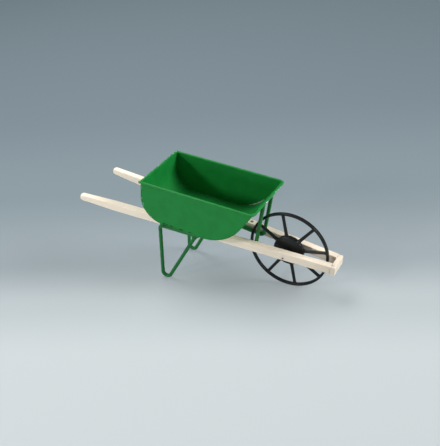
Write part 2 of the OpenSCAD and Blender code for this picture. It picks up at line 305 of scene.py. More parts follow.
def ramp(tree, factor, stops, interpolation="LINEAR"):
    """A colour ramp from (place, grey or colour) stops."""
    n = tree.nodes.new("ShaderNodeValToRGB")
    n.color_ramp.interpolation = interpolation
    while len(n.color_ramp.elements) < len(stops):
        n.color_ramp.elements.new(0.5)
    for element, (place, value) in zip(n.color_ramp.elements, stops):
        element.position = place
        element.color = (value, value, value, 1) if np.isscalar(value) else (*value, 1)
    tree.links.new(factor, n.inputs["Fac"])
    return n.outputs["Color"]


def math(tree, operation, a, b=0.0, clamp=False):
    """One arithmetic step. Returns its output socket."""
    n = tree.nodes.new("ShaderNodeMath")
    n.operation, n.use_clamp = operation, clamp
    for socket, value in zip(n.inputs, (a, b)):
        if isinstance(value, bpy.types.NodeSocket):
            tree.links.new(value, socket)
        else:
            socket.default_value = value
    return n.outputs[0]


def blend_colours(tree, factor, a, b):
    """Colour a where the factor is 0, b where it is 1."""
    n = tree.nodes.new("ShaderNodeMix")
    n.data_type = "RGBA"
    for socket, value in ((n.inputs[0], factor), (n.inputs[6], a), (n.inputs[7], b)):
        if isinstance(value, bpy.types.NodeSocket):
            tree.links.new(value, socket)
        elif socket.type == "RGBA":
            socket.default_value = (*value, 1)
        else:
            socket.default_value = value
    return n.outputs[2]


# %% Brushed enamel
tree, given, out = group(
    "brushed_enamel",
    [("Place", "NodeSocketVector", None), ("Thin", "NodeSocketColor", (0, 0, 0, 1)),
     ("Thick", "NodeSocketColor", (0, 0, 0, 1)), ("Dull", "NodeSocketFloat", 0.4),
     ("Shine", "NodeSocketFloat", 0.25)],
    [("Color", "NodeSocketColor"), ("Roughness", "NodeSocketFloat"), ("Height", "NodeSocketFloat")],
)
place = given.outputs["Place"]
cloud = node(tree, "ShaderNodeTexNoise", {"Vector": place, "Scale": 0.16, "Detail": 4.0, "Roughness": 0.55})
streak_place = node(tree, "ShaderNodeMapping", {"Vector": place, "Scale": (0.12, 1.0, 0.75)})
streak = node(tree, "ShaderNodeTexNoise", {"Vector": streak_place.outputs[0], "Scale": 1.6, "Detail": 3.0})
dimple = node(tree, "ShaderNodeTexNoise", {"Vector": place, "Scale": 3.2, "Detail": 2.0})
speck = node(tree, "ShaderNodeTexVoronoi", {"Vector": place, "Scale": 0.42, "Randomness": 1.0})
thickness = ramp(tree, cloud.outputs["Fac"], [(0.34, 0.0), (0.68, 1.0)])
colour = blend_colours(tree, thickness, given.outputs["Thin"], given.outputs["Thick"])
lump = ramp(tree, speck.outputs["Distance"], [(0.03, 1.0), (0.11, 0.0)], "EASE")
# painted glint: each lump is also painted paler than the coat round it
painted_glint = node(tree, "ShaderNodeVectorMath", {0: given.outputs["Thin"], 1: (3.0, 1.6, 2.0)},
              operation="MULTIPLY")
colour = blend_colours(tree, math(tree, "MULTIPLY", lump, 0.45), colour, painted_glint.outputs[0])
link_up(tree, colour, out.inputs["Color"])
patchy = ramp(tree, streak.outputs["Fac"], [(0.35, 0.0), (0.7, 1.0)])
rough = node(tree, "ShaderNodeMapRange", {"Value": patchy, "To Min": given.outputs["Shine"],
                                          "To Max": given.outputs["Dull"]})
link_up(tree, rough.outputs[0], out.inputs["Roughness"])
height = math(tree, "MULTIPLY", streak.outputs["Fac"], 0.45)
height = math(tree, "ADD", height, math(tree, "MULTIPLY", dimple.outputs["Fac"], 0.16))
height = math(tree, "ADD", height, math(tree, "MULTIPLY", lump, 0.42))
height = math(tree, "ADD", height, math(tree, "MULTIPLY", cloud.outputs["Fac"], 1.6))
link_up(tree, height, out.inputs["Height"])
enamel_group = tree
print("enamel group:", len(tree.nodes), "nodes")

# %% Bare edges
tree, given, out = group(
    "bare_edges",
    [("Place", "NodeSocketVector", None), ("Mark", "NodeSocketFloat", 0.0),
     ("Flake", "NodeSocketFloat", 1.0)],
    [("Mask", "NodeSocketFloat")],
)
flake = node(tree, "ShaderNodeTexNoise", {"Vector": given.outputs["Place"], "Scale": given.outputs["Flake"],
                                          "Detail": 5.0, "Roughness": 0.62})
ragged = math(tree, "MULTIPLY", math(tree, "SUBTRACT", flake.outputs["Fac"], 0.5), 2.4)
worn = math(tree, "ADD", math(tree, "SUBTRACT", given.outputs["Mark"], 1.0), ragged)
link_up(tree, ramp(tree, math(tree, "ADD", worn, 0.5), [(0.47, 0.0), (0.56, 1.0)]), out.inputs["Mask"])
bare_group = tree
print("bare edge group:", len(tree.nodes), "nodes")


def put_group(tree, which, inputs):
    """Places a node group in a material and fills its inputs."""
    n = tree.nodes.new("ShaderNodeGroup")
    n.node_tree = which
    for key, value in inputs.items():
        if isinstance(value, bpy.types.NodeSocket):
            tree.links.new(value, n.inputs[key])
        else:
            n.inputs[key].default_value = (*value, 1) if isinstance(value, tuple) else value
    return n.outputs


def new_material(name, **constants):
    """A material with a Principled BSDF whose unlinked sockets get plain numbers."""
    m = bpy.data.materials.new(name)
    m.use_nodes = True
    tree = m.node_tree
    shader = tree.nodes["Principled BSDF"]
    for key, value in constants.items():
        shader.inputs[key.replace("_", " ")].default_value = value
    return m, tree, shader


def in_millimetres(tree):
    """Object coordinates in millimetres."""
    where = tree.nodes.new("ShaderNodeTexCoord")
    larger = node(tree, "ShaderNodeMapping", {"Vector": where.outputs["Object"], "Scale": (1000, 1000, 1000)})
    return larger.outputs[0]


# %% [markdown]
# ## Green enamel
#
# The tub and the wires are covered with one brushed coat of glossy green enamel over grey
# tinned sheet. The coat is thinner and a little yellower on the ridges and deeper where it
# ran together. On the wires it is thick for such a small section, so their ridges are
# coarser and their green a shade darker.

# %% Make the green finishes
def enamel(name, thin, thick, shine, dull, bump, under, mark_flake, coat, gloss):
    """Brushed enamel, with chips down to the colour under it, pale bare solder and tin, which
    on the front roll is partly a painted highlight, and painted shadow, nearly black, in open
    joints, where the marks on the mesh put them."""
    m, tree, shader = new_material(name, Coat_Weight=coat, Coat_Roughness=0.12, IOR=1.5)
    shader.inputs["Specular IOR Level"].default_value = gloss
    place = in_millimetres(tree)
    paint = put_group(tree, enamel_group, {"Place": place, "Thin": thin, "Thick": thick,
                                           "Shine": shine, "Dull": dull})
    wear = node(tree, "ShaderNodeAttribute", attribute_name="wear").outputs["Fac"]
    tin = node(tree, "ShaderNodeAttribute", attribute_name="tin").outputs["Fac"]
    chips = put_group(tree, bare_group, {"Place": place, "Mark": wear, "Flake": mark_flake})["Mask"]
    drawn = node(tree, "ShaderNodeMapping", {"Vector": place, "Scale": (1.0, 0.25, 1.0)}).outputs[0]
    # tin mark: bare solder and tin, and on the front roll also a painted highlight
    solder = put_group(tree, bare_group, {"Place": drawn, "Mark": tin, "Flake": 0.9})["Mask"]
    colour = blend_colours(tree, chips, paint["Color"], under)
    colour = blend_colours(tree, solder, colour, (0.50, 0.55, 0.54))
    # painted shadow: where the gap mark says, the colour goes nearly black, for the shade in an open joint
    gap = node(tree, "ShaderNodeAttribute", attribute_name="gap").outputs["Fac"]
    colour = blend_colours(tree, ramp(tree, gap, [(0.22, 0.0), (0.45, 1.0)]), colour, (0.006, 0.012, 0.008))
    link_up(tree, colour, shader.inputs["Base Color"])
    rough = math(tree, "ADD", paint["Roughness"], math(tree, "MULTIPLY", chips, 0.2), clamp=True)
    link_up(tree, rough, shader.inputs["Roughness"])
    height = math(tree, "SUBTRACT", paint["Height"], math(tree, "MULTIPLY", chips, 0.25))
    surface = node(tree, "ShaderNodeBump", {"Height": height, "Strength": bump, "Distance": 0.0001})
    link_up(tree, surface.outputs["Normal"], shader.inputs["Normal"])
    return m


finish_of = {}
finish_of["tub_paint"] = enamel("tub_paint", (0.010, 0.215, 0.038), (0.008, 0.185, 0.032),
                                0.36, 0.52, 0.8, (0.32, 0.38, 0.35), 0.75, 0.0, 0.17)
finish_of["wire_paint"] = enamel("wire_paint", (0.010, 0.165, 0.032), (0.007, 0.125, 0.024),
                                 0.28, 0.42, 0.9, (0.22, 0.25, 0.23), 1.6, 0.0, 0.25)
print("green finishes:", list(finish_of))

# %% [markdown]
# ## Black enamel
#
# The wheel is dipped or sprayed gloss black. Black shows its form only by reflections, so
# the coat's small waves matter more than its colour: they break up the highlights.

# %% Make the black finish
finish_of["black_enamel"] = enamel("black_enamel", (0.011, 0.012, 0.012), (0.009, 0.010, 0.010),
                                   0.24, 0.42, 1.0, (0.10, 0.10, 0.10), 1.4, 0.30, 0.09)

# %% [markdown]
# ## Bare wood
#
# The shafts and the beam are a pale, close-grained wood, cut and sanded but not varnished.
# Its colour follows the plank: long fibres with a few darker growth lines, seen end-on as
# curved bands. A mark on each mesh gives the place within the plank, so that the grain runs
# along each shaft although both are turned, and across on the beam. Light and shade are
# also painted into the wood: it is a shade lighter at the grips and darker towards the wheel.

# %% Make the wood
def bare_wood():
    """Wood from growth rings, fibres and pores, all read at the place in the plank."""
    m, tree, shader = new_material("bare_wood", IOR=1.45)
    plank = node(tree, "ShaderNodeAttribute", attribute_name="grain").outputs["Vector"]
    warp = node(tree, "ShaderNodeTexNoise", {"Vector": plank, "Scale": 0.05, "Detail": 2.0})
    bent = node(tree, "ShaderNodeVectorMath", {0: warp.outputs["Color"], 1: (0.0, 3.0, 3.0)},
                operation="MULTIPLY")
    bent = node(tree, "ShaderNodeVectorMath", {0: plank, 1: bent.outputs[0]}, operation="ADD").outputs[0]
    ring_place = node(tree, "ShaderNodeMapping",
                      {"Vector": bent, "Location": (0, 9, 14), "Scale": (0.012, 1, 1)})
    rings = node(tree, "ShaderNodeTexWave",
                 {"Vector": ring_place.outputs[0], "Scale": 0.32, "Distortion": 1.6,
                  "Detail": 3.0, "Detail Scale": 0.8},
                 wave_type="RINGS", rings_direction="X", wave_profile="SAW")
    fibre_place = node(tree, "ShaderNodeMapping", {"Vector": bent, "Scale": (0.07, 1, 1)})
    fibre = node(tree, "ShaderNodeTexNoise", {"Vector": fibre_place.outputs[0], "Scale": 2.4, "Detail": 6.0,
                                              "Roughness": 0.65})
    cloud = node(tree, "ShaderNodeTexNoise", {"Vector": plank, "Scale": 0.09, "Detail": 3.0})
    pore_place = node(tree, "ShaderNodeMapping", {"Vector": plank, "Scale": (0.16, 1, 1)})
    pore = node(tree, "ShaderNodeTexVoronoi", {"Vector": pore_place.outputs[0], "Scale": 2.2})
    late = ramp(tree, rings.outputs["Fac"], [(0.55, 0.0), (0.93, 1.0), (1.0, 0.2)])
    lines = ramp(tree, fibre.outputs["Fac"], [(0.40, 1.0), (0.62, 0.0)])
    dots = ramp(tree, pore.outputs["Distance"], [(0.05, 1.0), (0.14, 0.0)])
    colour = blend_colours(tree, ramp(tree, cloud.outputs["Fac"], [(0.35, 0.0), (0.7, 1.0)]),
                           (0.895, 0.782, 0.650), (0.860, 0.735, 0.590))
    colour = blend_colours(tree, math(tree, "MULTIPLY", late, 0.26), colour, (0.72, 0.57, 0.40))
    colour = blend_colours(tree, math(tree, "MULTIPLY", lines, 0.22), colour, (0.74, 0.61, 0.45))
    colour = blend_colours(tree, math(tree, "MULTIPLY", dots, 0.25), colour, (0.55, 0.42, 0.28))
    stain = node(tree, "ShaderNodeAttribute", attribute_name="wear").outputs["Fac"]
    colour = blend_colours(tree, math(tree, "MULTIPLY", stain, 0.75, clamp=True), colour, (0.30, 0.27, 0.19))
    # painted light and shade: the wood is a shade lighter at the grips and darker towards the wheel
    length = node(tree, "ShaderNodeSeparateXYZ", {"Vector": in_millimetres(tree)}).outputs["X"]
    toward = node(tree, "ShaderNodeMapRange", {"Value": length, "From Min": -60.0, "From Max": 72.0})
    shade = ramp(tree, toward.outputs[0], [(0.0, 1.06), (0.55, 1.00), (0.90, 0.96), (0.965, 0.84)])
    colour = node(tree, "ShaderNodeVectorMath", {0: colour, "Scale": shade}, operation="SCALE").outputs[0]
    link_up(tree, colour, shader.inputs["Base Color"])
    rough = node(tree, "ShaderNodeMapRange", {"Value": lines, "To Min": 0.52, "To Max": 0.74})
    link_up(tree, rough.outputs[0], shader.inputs["Roughness"])
    height = math(tree, "ADD", math(tree, "MULTIPLY", fibre.outputs["Fac"], 0.7),
                  math(tree, "MULTIPLY", dots, -0.6))
    surface = node(tree, "ShaderNodeBump", {"Height": height, "Strength": 0.6, "Distance": 0.00006})
    link_up(tree, surface.outputs["Normal"], shader.inputs["Normal"])
    return m


finish_of["bare_wood"] = bare_wood()

# %% [markdown]
# ## Wire and nails
#
# The axle pin and the nails are bare iron wire, cut and filed. Dark specks of tarnish and a
# rough, uneven sheen tell it from polished steel.

# %% Make the iron finishes
def iron(name, light, dark, shine, dull, metal=1.0):
    """Dull metal with darker, rougher spots of tarnish."""
    m, tree, shader = new_material(name, Metallic=metal)
    place = in_millimetres(tree)
    tarnish = node(tree, "ShaderNodeTexNoise", {"Vector": place, "Scale": 2.2, "Detail": 5.0})
    spots = ramp(tree, tarnish.outputs["Fac"], [(0.42, 0.0), (0.62, 1.0)])
    link_up(tree, blend_colours(tree, spots, light, dark), shader.inputs["Base Color"])
    rough = node(tree, "ShaderNodeMapRange", {"Value": spots, "To Min": shine, "To Max": dull})
    link_up(tree, rough.outputs[0], shader.inputs["Roughness"])
    surface = node(tree, "ShaderNodeBump",
                   {"Height": tarnish.outputs["Fac"], "Strength": 0.5, "Distance": 0.00003})
    link_up(tree, surface.outputs["Normal"], shader.inputs["Normal"])
    return m


finish_of["pin_steel"] = iron("pin_steel", (0.20, 0.19, 0.17), (0.07, 0.065, 0.06), 0.35, 0.6)
finish_of["nail_iron"] = iron("nail_iron", (0.36, 0.31, 0.25), (0.12, 0.10, 0.08), 0.45, 0.7, metal=0.6)
print("finishes:", sorted(finish_of))

# %% [markdown]
# ## The tub's outline
#
# Seen from the side, the tub is one strip of sheet: down the rear wall, round a bend, along
# a short floor, round a wider bend and up the sloping front wall. It is described once, as
# points with the direction that faces out of the tub, and an inset moves it into the sheet.

# %% The outline as points
TUB_W, TUB_DEPTH, FLOOR_LEN, REAR_BEND, FRONT_BEND = 37.0, 21.3, 22.4, 13.0, 25.0
FRONT_ANGLE, TOP_RISE, TUB_GAP, SHEET, ROLL_R = np.radians(60), np.radians(1.9), 4.1, 0.5, 0.65
FLOOR_AT = SHAFT_H / 2
front_c = np.array([0.0, FLOOR_AT + FRONT_BEND])
front_c[0] = -np.sqrt((WHEEL_R + TUB_GAP + FRONT_BEND) ** 2 - (front_c[1] + AXLE_DROP) ** 2)
rear_c = np.array([front_c[0] - FLOOR_LEN, FLOOR_AT + REAR_BEND])
REAR_WALL = rear_c[0] - REAR_BEND


def top_line(u):
    """Height of the tub's top edge: it rises evenly towards the front."""
    return FLOOR_AT + TUB_DEPTH + (u - REAR_WALL) * np.tan(TOP_RISE)


bend_end = front_c + FRONT_BEND * np.array([np.sin(FRONT_ANGLE), -np.cos(FRONT_ANGLE)])
climb = (top_line(bend_end[0]) - bend_end[1]) / (np.tan(FRONT_ANGLE) - np.tan(TOP_RISE))
front_top = bend_end + climb * np.array([1, np.tan(FRONT_ANGLE)])


def tub_strip(inset, step=0.6):
    """(u, w) points of the outline, inset into the sheet, with the outward directions. Walls
    and floor are straight, and a bend is its centre plus radius times (cosine, sine)."""
    places, outs = [], []

    def run(a, b, out):
        t = np.linspace(0, 1, max(3, int(np.hypot(*(np.array(b) - a)) / step)))[1:-1, None]
        places.append(np.array(a) * (1 - t) + np.array(b) * t)
        outs.append(np.repeat([out], len(t), 0))

    def bend(c, r, a, b):
        t = np.radians(np.linspace(a, b, max(6, int(r * abs(np.radians(b - a)) / step))))
        way = np.stack([np.cos(t), np.sin(t)], -1)
        places.append(c + r * way)
        outs.append(way)

    up = (np.sin(FRONT_ANGLE), -np.cos(FRONT_ANGLE))
    places.append(np.array([[REAR_WALL, top_line(REAR_WALL)]]))
    outs.append(np.array([[-1.0, 0.0]]))
    run([REAR_WALL, top_line(REAR_WALL)], [REAR_WALL, rear_c[1]], (-1.0, 0.0))
    bend(rear_c, REAR_BEND, 180, 270)
    run([rear_c[0], FLOOR_AT], [front_c[0], FLOOR_AT], (0.0, -1.0))
    bend(front_c, FRONT_BEND, 270, 330)
    run(bend_end, front_top, up)
    places.append(front_top[None])
    outs.append(np.array([up]))
    places, outs = np.concatenate(places), np.concatenate(outs)
    return places - inset * outs, outs


strip, strip_out = tub_strip(0)
print("outline has", len(strip), "points, from u", strip[:, 0].min().round(2),
      "to", strip[:, 0].max().round(2))

# %% [markdown]
# ## The wrapped sheet
#
# The strip is carried across the tub and given its thickness, outer side first and inner
# side back, so that each row is a closed ring. The sheet was bent by hand, so it is a little
# wavy in the middle of its spans and true at its edges, where the panels hold it.

# %% Make the wrapped sheet
SOLDER_AT, SOLDER_REACH = (-27.5, 8.0), 6.5     # where bare solder shows, as (u, w)
roll_out = ROLL_R - SHEET + 0.05
rear_roll = np.array([REAR_WALL - roll_out, top_line(REAR_WALL)])
front_roll = front_top + roll_out * np.array([np.sin(FRONT_ANGLE), -np.cos(FRONT_ANGLE)])


def across_tub(uw, y):
    """Grid of plane points: every strip point at every place y across the tub."""
    u = np.broadcast_to(uw[:, None, 0], (len(uw), len(y)))
    w = np.broadcast_to(uw[:, None, 1], (len(uw), len(y)))
    return np.stack([u, np.broadcast_to(y, u.shape), w], -1)


def round_corners(points, reach=2.2):
    """Rounds the two front corners of the rim, seen from above. Within reach of a corner,
    each point's two distances into the corner's square are multiplied by the larger one over
    their root sum of squares, which bends a square into a quarter circle. The effect fades
    out below the rim."""
    p = to_plane(points)
    a = p[..., 0] - (front_roll[0] - reach)
    b = np.abs(p[..., 1]) - (TUB_W / 2 - reach)
    inside = (a > 0) & (b > 0)
    shrink = np.where(inside, np.maximum(a, b) / np.maximum(np.hypot(a, b), 1e-9), 1.0)
    fade = np.clip((p[..., 2] - front_roll[1] + 4.0) / 3.0, 0, 1) * inside
    p[..., 0] += fade * a * (shrink - 1)
    p[..., 1] += fade * b * (shrink - 1) * np.sign(p[..., 1])
    return from_plane(p)


def wrapped_sheet():
    """Rows of rings: the strip's point at every y on the outer side, then the point SHEET
    further in on the way back. The y are half the width times the sine of an even angle."""
    half = TUB_W / 2
    y = half * np.sin(np.linspace(-np.pi / 2, np.pi / 2, 60))
    outer = across_tub(strip, y)
    inner = across_tub(strip - SHEET * strip_out, y[::-1])
    grid = np.concatenate([outer, inner], 1)
    out3 = np.stack([strip_out[:, 0], 0 * strip_out[:, 0], strip_out[:, 1]], -1)[:, None, :]
    calm = np.clip(1 - (grid[..., 1] / half) ** 4, 0, 1)
    ends = np.clip(np.minimum(np.arange(len(strip)), np.arange(len(strip))[::-1]) / 12, 0, 1)[:, None]
    grid = grid + out3 * (0.10 * uneven(grid, 16, 5) * calm * ends)[..., None]
    middle = (grid + grid[:, ::-1]) / 2
    grid = np.concatenate([middle[:1], grid, middle[-1:]])
    far = np.hypot(grid[..., 0] - SOLDER_AT[0], grid[..., 2] - SOLDER_AT[1]) / SOLDER_REACH
    tin = 1.05 * np.exp(-far ** 2) * np.exp(-((half - grid[..., 1]) / 2.6) ** 2)
    return skin(round_corners(from_plane(grid)), tin=tin)


# %% [markdown]
# ## Rolled edges
#
# The sheet's top edge is rolled outwards over a wire. The roll is a rod whose radius falls a
# little once round it and steps back up, which is the lip where the sheet ends. Handling
# wears the top of the roll, most of all along the rear wall.

# %% A rolled edge
def rolled_edge(line, flat, lip, wear, seed, reach=ROLL_R, **marks):
    """Rod whose radius is reach times (1 - 0.14 t), where t goes from 0 to 1 round the
    section, starting at the angle lip."""
    edge = rod(line, flat, reach, around=36, dome=8, bumps=0.045, bump_size=5, seed=seed,
               wear=lambda p, ring: wear * np.clip(ring[..., 2], 0, 1) ** 0.7, **marks)
    rows = len(line) + 16
    points = edge["points"].reshape(rows, 36, 3)
    centre = points.mean(1, keepdims=True)
    t = ((np.arange(36) * 10 - lip) % 360) / 360
    points = centre + (points - centre) * (1 - 0.14 * t)[None, :, None]
    edge["points"] = round_corners(points).reshape(-1, 3)
    return edge


def cross_roll(place, lip, wear, seed, tin=0.0):
    """Rolled edge from side to side at the plane point place."""
    ends = [[place[0], -TUB_W / 2, place[1]], [place[0], TUB_W / 2, place[1]]]
    line = from_plane(straight(*ends, 70))
    flat = from_plane(np.array([1.0, 0, 0])) - from_plane(np.array([0.0, 0, 0]))
    # partly painted highlight: the pale tin mark on the roll's forward face stands partly for bare tin and
    # partly for a highlight along the front roll
    front = lambda p, ring: tin * np.clip(ring[..., 0] - 0.15, 0, 1) ** 0.4
    return rolled_edge(line, flat, lip, wear, seed, tin=front)


make_piece(
    "tub_sheet",
    [wrapped_sheet(), cross_roll(rear_roll, 200, 0.84, 11), cross_roll(front_roll, 20, 0.5, 12, tin=0.86)],
    "barrow", "tub_paint", ["tub_wrap"],
)

# %% [markdown]
# ## Side panels
#
# A side panel is a flat D of sheet. For every u there is one column of points, from the
# bottom of the outline up to the top line, so the curved bottom comes straight from the
# circles of the two bends. The panel lies just inside the wrapped sheet's edge, whose cut
# shows as a fine line round the panel, and its own top edge is rolled outwards.

# %% Make the side panels
def panel_bottom(u, inset):
    """Lowest w of the inset outline at u: a circle's lower half in each bend, flat between,
    and the sloping line of the front wall beyond the second bend."""
    rear = rear_c[1] - np.sqrt(np.clip((REAR_BEND - inset) ** 2 - (u - rear_c[0]) ** 2, 0, None))
    front_r = FRONT_BEND - inset
    front = front_c[1] - np.sqrt(np.clip(front_r ** 2 - (u - front_c[0]) ** 2, 0, None))
    last = front_c + front_r * np.array([np.sin(FRONT_ANGLE), -np.cos(FRONT_ANGLE)])
    slope = last[1] + (u - last[0]) * np.tan(FRONT_ANGLE)
    return np.select([u < rear_c[0], u < front_c[0], u < last[0]], [rear, FLOOR_AT + inset, front], slope)


# (u, w, length) of each painted shadow in an open place of the joint along a panel's lower edge, for each
# side
JOINT_SHADOWS = {
    -1: [(-61.7, 2.62, 1.0), (-58.9, 2.70, 0.9), (-53.0, 2.76, 1.1), (-48.0, 2.70, 0.8), (-63.6, 2.75, 0.6)],
    1: [(-60.2, 2.65, 0.9), (-50.6, 2.70, 0.8)],
}


def side_panel(side, seed):
    """Columns of points from the panel's bottom line to its top line, outer side first, then
    back down the inner side. The rows lie closer together near the edges."""
    inset = 0.26
    last = front_c + (FRONT_BEND - inset) * np.array([np.sin(FRONT_ANGLE), -np.cos(FRONT_ANGLE)])
    climb = (top_line(last[0]) - last[1]) / (np.tan(FRONT_ANGLE) - np.tan(TOP_RISE))
    start, end = REAR_WALL + inset, last[0] + climb
    t = np.linspace(0, 1, 130)
    u = start + (end - start) * (0.25 * t + 0.75 * (1 - np.cos(np.pi * t)) / 2)
    low, high = panel_bottom(u, inset), top_line(u)
    v = np.linspace(0, 1, 60)
    v = 0.3 * v + 0.7 * (1 - np.cos(np.pi * v)) / 2
    w = low[:, None] + (high - low)[:, None] * v
    place = lambda y, w: np.stack([np.broadcast_to(u[:, None], w.shape), np.full(w.shape, y), w], -1)
    grid = np.concatenate([place(TUB_W / 2 - 0.07, w), place(TUB_W / 2 - SHEET, w[:, ::-1])], 1)
    rim = np.concatenate([v, v[::-1]])
    hold = np.clip(4 * rim * (1 - rim), 0, 1) * np.clip(4 * t * (1 - t), 0, 1)[:, None]
    grid[..., 1] += 0.13 * uneven(grid, 17, seed) * hold
    middle = (grid + grid[:, ::-1]) / 2
    grid = np.concatenate([middle[:1], grid, middle[-1:]])
    grid[..., 1] *= side
    # painted shadow in the open places of the joint along the lower edge
    gap = np.zeros(grid.shape[:2])
    for u_gap, w_gap, length in JOINT_SHADOWS[side]:
        gap += np.exp(-((grid[..., 0] - u_gap) / length) ** 2 - ((grid[..., 2] - w_gap) / 0.44) ** 2)
    behind, below = np.minimum(grid[..., 0] - rear_c[0], 0), np.minimum(grid[..., 2] - rear_c[1], 0)
    from_edge = REAR_BEND - inset - np.hypot(behind, below)
    specks = 1.0 * np.exp(-(from_edge / 0.85) ** 2) * (behind < 0)
    return skin(round_corners(from_plane(grid)), gap=gap, tin=specks)


def side_roll(side, seed, wear):
    """Rolled edge along the top of a panel."""
    a, b = rear_roll[0] - 0.3, front_roll[0] + 0.25
    y = side * (TUB_W / 2 + roll_out)
    line = from_plane(straight([a, y, top_line(a)], [b, y, top_line(b)], 150))
    return rolled_edge(line, [0, 1, 0], 250 if side > 0 else 110, wear, seed)


# %% [markdown]
# ## Solder seams
#
# The panels are soldered into the wrapped sheet. The solder stands in the inner corner as a
# narrow, lumpy bead and shows as a finer one along the outer edge. It is painted over, but
# the paint is thin on the lumps, and in the front corner bare solder shows.

# %% Make the seams and the panels
def seam(side, inset, y, radius, seed, tin=0.0, bumps=0.10, size=2.0):
    """Rod along the outline at place y. Its thickness changes slowly along the seam."""
    uw = tub_strip(inset, 0.35)[0]
    line = from_plane(np.stack([uw[:, 0], np.full(len(uw), side * y), uw[:, 1]], -1))
    thick = radius * (1 + 0.25 * uneven(line, 7, seed))
    part = rod(line, [0, 1, 0], thick, around=14, dome=4, bumps=bumps, bump_size=size, seed=seed)
    part["points"] = round_corners(part["points"])
    if callable(tin):
        part["tin"] = np.repeat(np.pad(tin(uw), 4, mode="edge"), 14)
    return part


def bare_solder(uw):
    """Bare solder shows most in the upper front corner, and in a few specks elsewhere."""
    d = np.hypot(uw[:, 0] - SOLDER_AT[0], uw[:, 1] - SOLDER_AT[1])
    return 0.48 + 0.75 * np.exp(-(d / SOLDER_REACH) ** 2)


for side, word, seed in ((1, "left", 31), (-1, "right", 41)):
    make_piece(
        f"tub_panel_{word}",
        [side_panel(side, seed), side_roll(side, seed + 1, 0.35),
         seam(side, SHEET + 0.05, TUB_W / 2 - SHEET - 0.05, 0.34, seed + 2, tin=bare_solder),
         seam(side, 0.12, TUB_W / 2 - 0.10, 0.15, seed + 3, bumps=0.035)],
        "barrow", "tub_paint", [f"tub_side_{word}"],
    )

# %% [markdown]
# ## Sawn and sanded wood
#
# A shaft and the beam are the same kind of shape: a rectangle with rounded corners, carried
# along the piece while its two sides and its corner radius change. On the shafts the corners
# grow rounder towards the grip, until the end is a dome. The ring's points are its four
# corner arcs, with one more point on each flat beside the arc, which keeps the flats flat.

# %% A bar of wood
def rounded_ring(half_a, half_b, radius, arc=8):
    """Ring points for each row: (corner sign) times (half size less radius) plus radius
    times (cosine, sine), four arcs of a quarter turn."""
    turn = np.linspace(0, np.pi / 2, arc)
    a, b = [], []
    for q, (sa, sb) in enumerate(((1, 1), (-1, 1), (-1, -1), (1, -1))):
        angle = turn + q * np.pi / 2
        ca = np.cos(angle)[None] * radius[:, None] + sa * (half_a - radius)[:, None]
        cb = np.sin(angle)[None] * radius[:, None] + sb * (half_b - radius)[:, None]
        lead = 0.06 * np.array([np.sin(angle[0]), -np.cos(angle[0])])
        trail = 0.06 * np.array([-np.sin(angle[-1]), np.cos(angle[-1])])
        a.append(np.concatenate([ca[:, :1] + lead[0], ca, ca[:, -1:] + trail[0]], 1))
        b.append(np.concatenate([cb[:, :1] + lead[1], cb, cb[:, -1:] + trail[1]], 1))
    return np.concatenate(a, 1), np.concatenate(b, 1)


def bar(along, half_a, half_b, radius, end_round, start_round):
    """Rows of rounded rectangles. Each end is closed by rows that shrink: over the last
    end_round of its length the section draws in along a quarter circle, then to a point."""

    def cap(place, rounding, way):
        t = np.linspace(0, np.pi / 2, 7)[1:]
        x = place - way * rounding * (1 - np.sin(t))
        cut = rounding * (1 - np.cos(t))
        return x, cut

    xs, cut_s = cap(along[0], start_round, -1)
    xe, cut_e = cap(along[-1], end_round, 1)
    body = (along > along[0] + start_round) & (along < along[-1] - end_round)
    x = np.concatenate([[along[0]], xs[::-1], along[body], xe, [along[-1]]])
    cut = np.concatenate([[cut_s[-1]], cut_s[::-1], np.zeros(body.sum()), cut_e, [cut_e[-1]]])
    a = np.interp(x, along, half_a) - cut
    b = np.interp(x, along, half_b) - cut
    r = np.minimum(np.interp(x, along, radius), np.minimum(a, b) * 0.98)
    ra, rb = rounded_ring(a, b, np.clip(r, 0.02, None))
    shrink = np.ones(len(x))
    shrink[[0, -1]] = 0
    return x, ra * shrink[:, None], rb * shrink[:, None]


# %% [markdown]
# ## Shafts
#
# The grips taper over their last third. The front end is cut square to the barrow and not to
# the shaft, where it meets the beam, so its rows are sheared by the toe-in. The wood is
# stained a little round the axle pin, and dark round the nail by the left stay.

# %% Make the shafts
STAY_FOOT, STAY_RUN = 16.0, 13.0        # the stay's short run on the shaft, from the axle
STAY_NAIL = -(STAY_FOOT + STAY_RUN * 0.7)


